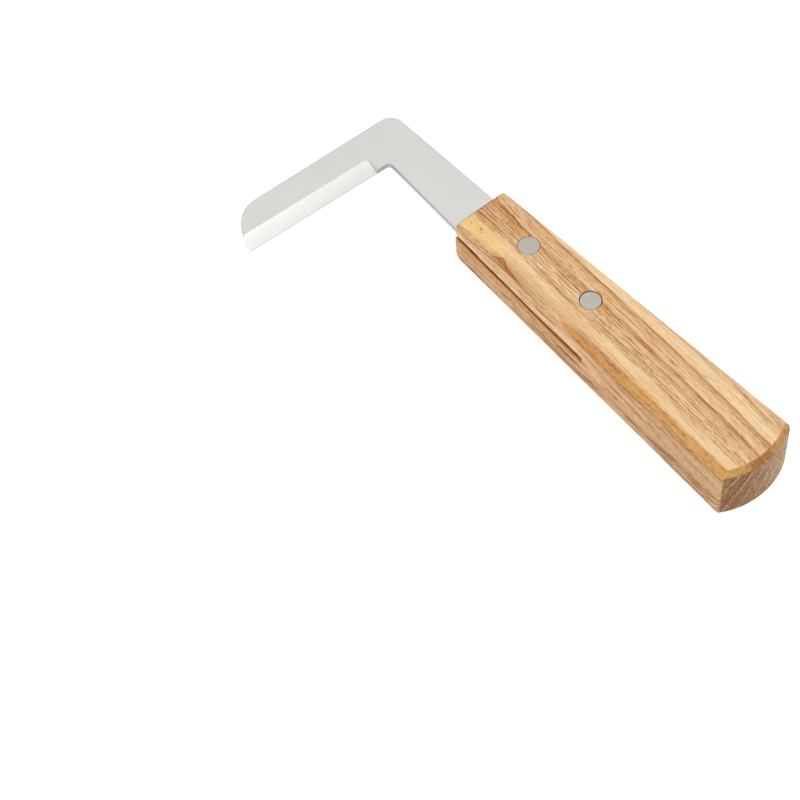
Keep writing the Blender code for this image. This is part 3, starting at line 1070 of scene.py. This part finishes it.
def blemish_layer(ash, colour):
    """Torn, reddish fibres just below the blind end of the kerf, and pin
    knots in the yellow patch."""
    x, y, z = ash.place
    away = ((x - 9.0) * (1.0 / 8.0)) ** 2.0 + ((z - 7.2) * (1.0 / 2.2)) ** 2.0
    torn = away.step(1.2, 0.3) * ash.fine.step(0.46, 0.58) * abs(y).step(9.0, 10.0)
    colour = colour.paint(wood(150, 86, 46), torn, share=0.80)
    for knot_x, knot_y, radius in PIN_KNOTS:
        away = (((x - knot_x) * 0.7) ** 2.0 + (y - knot_y) ** 2.0).math('SQRT')
        spot = away.step(radius, radius * 0.35) * z.step(*TOP_FACE)
        colour = colour.paint(wood(132, 84, 40), spot, share=0.75)
    return colour


def left_arris_layer(ash, colour):
    """The oiled ochre stripe on the left chamfer, which ends in a point near
    the middle of the handle.  Across runs from the top face (negative) over
    the chamfer to the side face (positive)."""
    x, y, z = ash.place
    ash.left_y = (FRONT_X - x).times(LEFT_SPREAD, plus=FRONT_HALF_LEFT)
    top_z = (FRONT_X - x).times(TOP_SLOPE, plus=FRONT_THICK)
    ash.across = across = (y - ash.left_y) - (z - top_z)
    ash.ragged = ragged = ash.noise(
        ash.place, (0.12, 0.9, 0.9), detail=3.0, rough=0.6).centred(1.0)
    # (x, across) stations of the stripe's two borders
    stripe_low = x.curve([
        (-60.0, -2.30), (3.0, -2.30), (6.0, -2.0), (10.0, -1.15), (13.5, -0.2), (60.0, 3.9)])
    stripe_high = x.curve([
        (-60.0, 2.35), (-10.0, 2.15), (3.0, 1.9), (6.5, 1.4), (10.0, 0.65), (13.5, -0.3),
        (60.0, -3.9)])
    stripe = (
        (ragged.times(0.3, plus=across) - stripe_low).step(-0.12, 0.10)
        * (stripe_high - ragged.times(0.8, plus=across)).step(-0.12, 0.22)
    )
    ochre = ragged.times(14.0, plus=x).ramp([
        (-60.0, 216, 164, 98), (-34.0, 221, 171, 108), (-22.0, 214, 160, 92),
        (-8.0, 216, 162, 94), (4.0, 208, 150, 82), (9.0, 210, 150, 82), (20.0, 210, 150, 84),
    ], wood)
    weave = ash.noise((x, across, across), (0.10, 1.3, 0.4), detail=3.0, rough=0.65)
    pepper = ash.noise((x, across, 4.2), (0.8, 1.8, None), detail=1.0)
    worn_shade = ash.shade + weave.centred(1.5) + pepper.centred(0.9) + 0.02
    ochre = ochre.tint(worn_shade.ramp([
        (-0.50, 1.16, 1.22, 1.30), (0.0, 1.0, 1.0, 1.0),
        (0.24, 0.80, 0.72, 0.60), (0.50, 0.56, 0.43, 0.30),
    ], linear))
    colour = colour.paint(ochre, stripe, share=0.92)
    # a dark line along the stripe's lower border
    rim = stripe_high - ragged.times(0.8, plus=across)
    rim_line = rim.within((-0.30, -0.05), (0.40, 0.10)) * (
        x.step(9.0, 0.0) * ash.quick.step(0.42, 0.58, out_low=0.25))
    return colour.paint(wood(158, 102, 52), rim_line, share=0.70)


def flame_layer(ash, colour):
    """A brown flame that rises from the left arris on to the top face."""
    x, across, ragged = ash.place[0], ash.across, ash.ragged
    # tan wood under the flame
    under = (
        ragged.times(8.0, plus=x).step(24.0, 30.0) * ragged.times(8.0, plus=x).step(42.0, 36.0)
    ) * across.within((-2.42, -2.22), (1.2, 0.2))
    colour = colour.paint(wood(214, 160, 98), under, share=0.60)
    # (x, across) stations of the flame's two borders
    flame_high = x.curve([
        (24.0, 0.10), (28.0, 0.25), (34.0, 0.40), (40.0, 0.70), (45.0, 1.05), (50.0, 1.33),
        (60.0, 1.30)])
    flame_low = x.curve([
        (24.0, 3.0), (27.0, 0.5), (28.5, 0.0), (33.0, -0.75), (36.0, -1.65), (38.2, -2.85),
        (39.0, -2.2), (41.0, -0.9), (44.0, 0.7), (60.0, 3.8)])
    lick = ragged.times(0.9, plus=across)
    flame = (lick - flame_low).step(-0.30, 0.35) * (flame_high - lick).step(-0.30, 0.15)
    heat = x.ramp([
        (24.0, 0.0), (27.0, 0.4), (29.0, 0.95), (34.0, 0.75), (38.5, 1.0), (40.0, 0.55),
        (44.0, 0.25), (46.0, 0.0),
    ])
    embers = ash.mix(
        (ash.fine.centred(1.0) + ash.curl.centred(1.2)).step(-0.10, 0.14),
        wood(206, 144, 76), wood(164, 94, 38),
    )
    fibres = ash.fine.step(0.36, 0.54, out_low=0.66, out_high=0.97)
    colour = colour.paint(embers, flame * heat * fibres)
    # a dark hem on the flame's upper border
    hem = (lick - flame_low)
    hem = hem.within((-0.22, 0.02), (0.50, 0.16)) * x.step(30.0, 34.0) * x.step(42.5, 40.0)
    colour = colour.paint(wood(150, 84, 36), hem, share=0.80)
    # the ring line it grows from runs on to the front corner
    off = abs(ragged.times(0.25, plus=across) - flame_high)
    vein = off.step(0.24, 0.06) * x.within((27.0, 29.0), (57.0, 52.0))
    return colour.paint(wood(150, 88, 48), vein, share=0.72)


def kerf_layer(ash, colour):
    """Down the saw cut the wood is dusty, and painted shade makes it darker further in."""
    x, y, z = ash.place
    into = (ash.left_y - y).math(
        'MINIMUM', (FRONT_X - x).times(RIGHT_SPREAD, plus=FRONT_HALF_RIGHT) + y)
    into = into.math('MINIMUM', FRONT_X - x)
    into = into + ash.noise(ash.place, (0.8, 0.9, 0.9), rough=0.6).centred(0.42)
    inside = z.within((8.9, 9.1), (11.9, 11.7)) * x.step(KERF_END_X - 0.6, KERF_END_X)
    # depth into the cut, sRGB: painted shade over a little sawdust, warm orange near the mouth as
    # painted bounce light, dark deeper in
    dust_and_shade = into.ramp([
        (0.0, 236, 182, 126), (0.22, 226, 158, 92), (0.42, 204, 126, 60),
        (0.66, 176, 96, 38), (1.0, 140, 68, 24),
    ], wood)
    colour = colour.paint(dust_and_shade, inside * into.step(-0.05, 0.20, out_low=0.30, out_high=0.97))
    # the part of the cut's floor that has sunk below its nominal height, with the same painted
    # shade
    sunk = z.within((8.2, 8.4), (9.1, 8.9)) * x.step(KERF_END_X, KERF_END_X + 0.6)
    return colour.paint(dust_and_shade, sunk * into.step(0.10, 0.40, out_high=0.97))


def end_grain_layer(ash, colour):
    """Cut across the grain the wood is darker, with pale ring lines, and painted light makes the
    end face lighter towards -y.
    """
    x, y, z = ash.place
    facing_x, _, facing_z = ash.facing
    _, ring_flat, ray_flat = ash.flat
    ring_pitch = 3.88
    ash.end = abs(facing_x).step(0.34, 0.92)
    broken = abs(facing_x).step(0.30, 0.55) * facing_z.step(0.25, 0.50)
    ash.cells = cells = ash.noise(ash.flat, (0.4, 1.9, 1.1), detail=3.0, rough=0.7)
    blot = ash.noise(ash.place, (0.1, 0.35, 0.35))
    smear = ash.noise(ash.flat, (0.1, 1.1, 0.45), detail=3.0)
    # share of the way from one ring line to the next
    cycle = ((ring_flat + blot.centred(1.1) + 38.8) * (1.0 / ring_pitch)).math('FRACT')
    pale = cycle.ramp([
        (0.0, 1.0), (0.05, 0.7), (0.10, 0.05), (0.80, 0.0), (0.93, 0.10), (1.0, 1.0),
    ])
    pale = pale * ash.noise(
        (0.0, ray_flat, ring_flat), (None, 0.4, 0.2)).step(0.34, 0.56, out_low=0.3)
    # painted light: the end face is made lighter towards -y, the side the right fill lamp lights
    face = (y + blot.centred(7.0)).ramp([
        (-12.0, 206, 180, 156), (-6.0, 198, 168, 140), (0.0, 186, 146, 112),
        (6.0, 166, 120, 82), (12.0, 168, 114, 72),
    ], wood)
    # denser wood just after each ring line, darkest in one ring
    dense = cycle.ramp([
        (0.0, 0.0), (0.06, 0.0), (0.13, 1.0), (0.36, 0.55), (0.62, 0.15), (1.0, 0.0),
    ])
    deep = ring_flat.within((6.6, 7.9), (11.2, 10.0))
    face = face.paint(wood(112, 80, 48), dense * deep.times(0.50, plus=0.22))
    face = face.paint(wood(128, 92, 60), smear.step(0.50, 0.64, out_high=0.55))
    stain = ash.noise(ash.place, (0.1, 0.42, 0.42), detail=3.0)
    face = face.paint(wood(150, 100, 92), stain.step(0.56, 0.68, out_high=0.40))
    face = face.paint(wood(150, 134, 92), stain.step(0.44, 0.34, out_high=0.40))
    face = face.paint(wood(228, 196, 160), pale, share=0.85)
    face = face.paint(wood(104, 70, 44), cells.step(0.50, 0.68, out_high=0.75))
    face = face.paint(wood(220, 188, 152), cells.step(0.46, 0.34, out_high=0.55))
    # the eased rim over the end face
    rim = (y + blot.centred(6.0)).ramp([
        (-12.0, 208, 154, 98), (-4.0, 206, 150, 88), (-1.0, 182, 122, 66),
        (4.0, 184, 124, 68), (6.0, 220, 168, 94), (12.0, 220, 170, 100),
    ], wood)
    rim = rim.paint(wood(132, 78, 38), cells.step(0.50, 0.66, out_high=0.70))
    rim = rim.paint(wood(232, 188, 124), smear.step(0.54, 0.66, out_high=0.5))
    colour = colour.paint(face.tint(linear(0.94, 0.93, 0.91)), ash.end)
    return colour.paint(rim.tint(linear(0.84, 0.86, 0.86)), broken, share=0.92)


def ash_material():
    ash = Ash()
    colour = ring_layer(ash)
    for layer in (
        front_layer, side_layer, streak_layer, pore_layer, left_face_layer, blemish_layer,
        left_arris_layer, flame_layer, kerf_layer, end_grain_layer,
    ):
        colour = layer(ash, colour)
    relief = (
        ash.pore_line * -0.9 + ash.pore_dash * -0.6 + ash.fine * -0.5 + ash.hair * -0.3
        + ash.end * ash.cells * -0.9
    )
    ash.principled(
        Base_Color=colour,
        Roughness=0.50 + ash.fine * 0.10 + ash.pore_dash * 0.15 + ash.end * 0.15,
        IOR=1.45, Specular_IOR_Level=0.35,
        Normal=ash.bump(relief, distance=0.00007, strength=0.7),
    )
    return ash.mat


# -------------------------------------------------------------------- metals
def steel_material():
    steel = Graph("satin_steel")
    x, y, z = steel.coordinates()
    facing_x, _, facing_z = steel.normal()
    # which face of the plate a point is on, and how far in from the edge
    wall = abs(facing_z).step(0.92, 0.55)
    ground = facing_x.step(-0.12, -0.24) * facing_z.step(0.80, 0.93)
    inward = x - (y - HEEL_Y).times(math.tan(EDGE_LEAN), plus=EDGE_ROOT_X)

    cloud = steel.noise((x, y, z), (0.07, 0.07, None), detail=3.0)
    fleck = steel.noise((x, y, z), (0.9, 0.9, None), detail=3.0, rough=0.65)
    rolled = steel.noise((x, y, z), (0.35, 6.0, None), rough=0.6)
    wheel = steel.noise((x, y, z), (0.16, 4.2, None), detail=3.0, rough=0.65)

    base = cloud.ramp([(0.3, 227, 226, 223), (0.5, 230, 229, 226), (0.7, 233, 232, 229)], lin)
    base = base.paint(lin(206, 206, 203), fleck.step(0.55, 0.75, out_high=0.14))
    base = base.paint(lin(208, 208, 205), rolled.step(0.5, 0.7), share=0.10)
    bright = inward.ramp([(0.0, 158, 158, 156), (0.35, 202, 201, 198), (5.2, 216, 215, 212)], lin)
    bright = bright.paint(lin(196, 196, 193), wheel.step(0.44, 0.66, out_high=0.55))
    base = base.paint(bright, ground)
    # the sheared rim is a little dull, and painted shade darkens it further, most of all round
    # the inner corner
    corner = x.step(84.0, 93.0) * y.step(14.0, 9.0)
    dull_and_shaded_rim = steel.mix(corner, lin(214, 214, 211), lin(176, 176, 174))
    base = base.paint(dull_and_shaded_rim, wall, share=0.85)
    # painted light: the rounded wall where the grinding runs out at the heel is made pale, and
    # not metal, so it shows light grey instead of shaded
    heel = wall * inward.step(0.15, 0.5) * y.within(
        (HEEL_Y - 1.0, HEEL_Y - 0.5), (HEEL_Y + 4.5, HEEL_Y + 4.0))
    heel = heel * inward.step(BEVEL_WIDTH + 1.2, BEVEL_WIDTH + 0.8)
    base = base.paint(lin(250, 250, 247), heel)
    # painted shade: the eased arris between flat and rim takes a thin dark line
    arris = abs(facing_z).step(0.992, 0.95) * (1.0 - ground)
    arris = arris * abs(facing_z).step(0.30, 0.50)
    base = base.paint(lin(150, 150, 149), arris * (1.0 - heel), share=0.8)
    # sawdust and glue where the tang goes into the wood
    base = base.paint(lin(126, 84, 52), x.step(FRONT_X - 0.2, FRONT_X - 1.2))

    scratch = wheel * ground * 1.0 + rolled * (1.0 - ground) * 0.4 + fleck * 0.2
    bare = x.step(FRONT_X - 1.2, FRONT_X - 0.2, out_low=0.25)
    steel.principled(
        Base_Color=base,
        # the pale heel wall is not metal, as part of its painted light
        Metallic=bare * heel.times(-1.0, plus=1.0),
        Roughness=0.34 + cloud * 0.06 + wall * 0.10 + fleck * 0.05 + ground * -0.04,
        Normal=steel.bump(scratch, distance=0.00003, strength=0.30),
    )
    return steel.mat


def pin_material():
    pin = Graph("ground_aluminium")
    x, y, z = pin.coordinates()
    cloud = pin.noise((x, y, z), (0.35, 0.35, None), detail=4.0, rough=0.6)
    # file marks run slantwise over the heads
    file_marks = pin.noise((x + y * 0.7, y + x * -0.7, z), (0.5, 6.0, None), rough=0.6)
    dots = pin.noise((x, y, z), (3.0, 3.0, None))
    base = cloud.ramp([(0.3, 195, 190, 180), (0.5, 200, 193, 183), (0.7, 204, 198, 188)], lin)
    base = base.paint(lin(168, 163, 156), file_marks.step(0.5, 0.72, out_high=0.20))
    base = base.paint(lin(152, 148, 142), dots.step(0.6, 0.75, out_high=0.22))
    pin.principled(
        Base_Color=base, Metallic=0.85, Roughness=0.42 + cloud * 0.16,
        Normal=pin.bump(file_marks + dots * 0.4, distance=0.00003, strength=0.35),
    )
    return pin.mat


# a lit table: it keeps the shadows soft, and shows white to the camera
FLOOR_GLOW, FLOOR_WHITE = 0.08, 0.55


def floor_material():
    table = Graph("pale_floor")
    x, y, _ = table.coordinates()
    speck = table.noise((x, y, 0.0), (0.02, 0.02, None))
    seen = Value(table, table.node("ShaderNodeLightPath").outputs["Is Camera Ray"])
    table.principled(
        Base_Color=speck.ramp([(0.3, 0.915), (0.7, 0.935)]),
        Roughness=0.9, Specular_IOR_Level=0.1,
        Emission_Color=grey(1.0),
        Emission_Strength=seen.times(FLOOR_WHITE, plus=FLOOR_GLOW),
    )
    return table.mat


# -------------------------------------------------------------------- pieces
def dress(piece, mat, node):
    piece.data.materials.clear()
    piece.data.materials.append(mat)
    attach(piece, "root")
    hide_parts(node)


ash_wood = ash_material()
satin_steel = steel_material()
pin_metal = pin_material()

dress(build_handle(), ash_wood, "handle")
dress(build_blade(), satin_steel, "blade")
dress(build_rivet("front"), pin_metal, "rivet_front")
dress(build_rivet("rear"), pin_metal, "rivet_rear")
for node_name, mat in (
    ("handle", ash_wood), ("blade", satin_steel),
    ("rivet_front", pin_metal), ("rivet_rear", pin_metal),
):
    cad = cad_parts[node_name]
    cad.data.materials.clear()
    cad.data.materials.append(mat)

# --------------------------------------------------------------------- stage
FLOOR_HALF = 6000
floor = add_object(
    "floor",
    [(x * FLOOR_HALF, y * FLOOR_HALF, 0) for x, y in ((-1, -1), (1, -1), (1, 1), (-1, 1))],
    [(0, 1, 2, 3)],
)
floor.location.z = -0.00005
floor.data.materials.append(floor_material())


def build_world():
    """A grey room, brighter overhead, that looks white to the camera."""
    world = bpy.data.worlds.new("studio")
    bpy.context.scene.world = world
    world.use_nodes = True
    nodes, link = world.node_tree.nodes, world.node_tree.links.new
    nodes.clear()
    out = nodes.new("ShaderNodeOutputWorld")
    room = nodes.new("ShaderNodeBackground")
    coord = nodes.new("ShaderNodeTexCoord")
    parts = nodes.new("ShaderNodeSeparateXYZ")
    sky = nodes.new("ShaderNodeValToRGB")
    link(coord.outputs["Generated"], parts.inputs[0])
    link(parts.outputs[2], sky.inputs[0])
    low, high = sky.color_ramp.elements
    low.position = 0.0
    low.color = (0.36, 0.365, 0.37, 1.0)
    high.position = 0.75
    high.color = grey(0.92)
    link(sky.outputs[0], room.inputs[0])
    room.inputs["Strength"].default_value = 0.92
    seen = nodes.new("ShaderNodeBackground")
    seen.inputs["Color"].default_value = grey(1.0)
    ray = nodes.new("ShaderNodeLightPath")
    pick = nodes.new("ShaderNodeMixShader")
    link(ray.outputs["Is Camera Ray"], pick.inputs[0])
    link(room.outputs[0], pick.inputs[1])
    link(seen.outputs[0], pick.inputs[2])
    link(pick.outputs[0], out.inputs[0])


def soft_light(name, place, target, size, watts):
    """A rectangular area light; places and sizes in metres."""
    light = bpy.data.lights.new(name, 'AREA')
    light.shape = 'RECTANGLE'
    light.size, light.size_y = size
    light.energy = watts
    obj = bpy.data.objects.new(name, light)
    bpy.context.scene.collection.objects.link(obj)
    obj.location = place
    obj.rotation_euler = (
        (Vector(target) - Vector(place)).to_track_quat('-Z', 'Y').to_euler()
    )


build_world()
soft_light("overhead", place=(-0.16, -0.02, 0.85), target=(0.02, 0.01, 0.0),
           size=(0.62, 0.95), watts=2.1)
soft_light("right_fill", place=(-0.25, -0.95, 0.22), target=(-0.03, 0.0, 0.01),
           size=(0.5, 0.35), watts=1.2)

# -------------------------------------------------------------------- camera
CAMERA_PLACE = (-0.26291787, 0.26847346, 0.57602012)
CAMERA_RIGHT = Vector((-0.64185221, -0.76583395, -0.0390397))
CAMERA_UP = Vector((0.63490416, -0.55928952, 0.53300275))
CAMERA_AHEAD = Vector((0.4300261, -0.31732252, -0.84521238))

lens = bpy.data.cameras.new("camera")
lens.sensor_width = 36.0
lens.sensor_fit = 'HORIZONTAL'
lens.lens = 112.5
lens.clip_start = 0.01
lens.clip_end = 50.0
camera = bpy.data.objects.new("camera", lens)
bpy.context.scene.collection.objects.link(camera)
pose = Matrix.Identity(4)
for row in range(3):
    pose[row][0] = CAMERA_RIGHT[row]
    pose[row][1] = CAMERA_UP[row]
    pose[row][2] = -CAMERA_AHEAD[row]
pose.translation = Vector(CAMERA_PLACE)
camera.matrix_world = pose
bpy.context.scene.camera = camera

view = bpy.context.scene.view_settings
view.view_transform = 'Standard'
view.look = 'None'
view.exposure = 0.0
view.gamma = 1.0
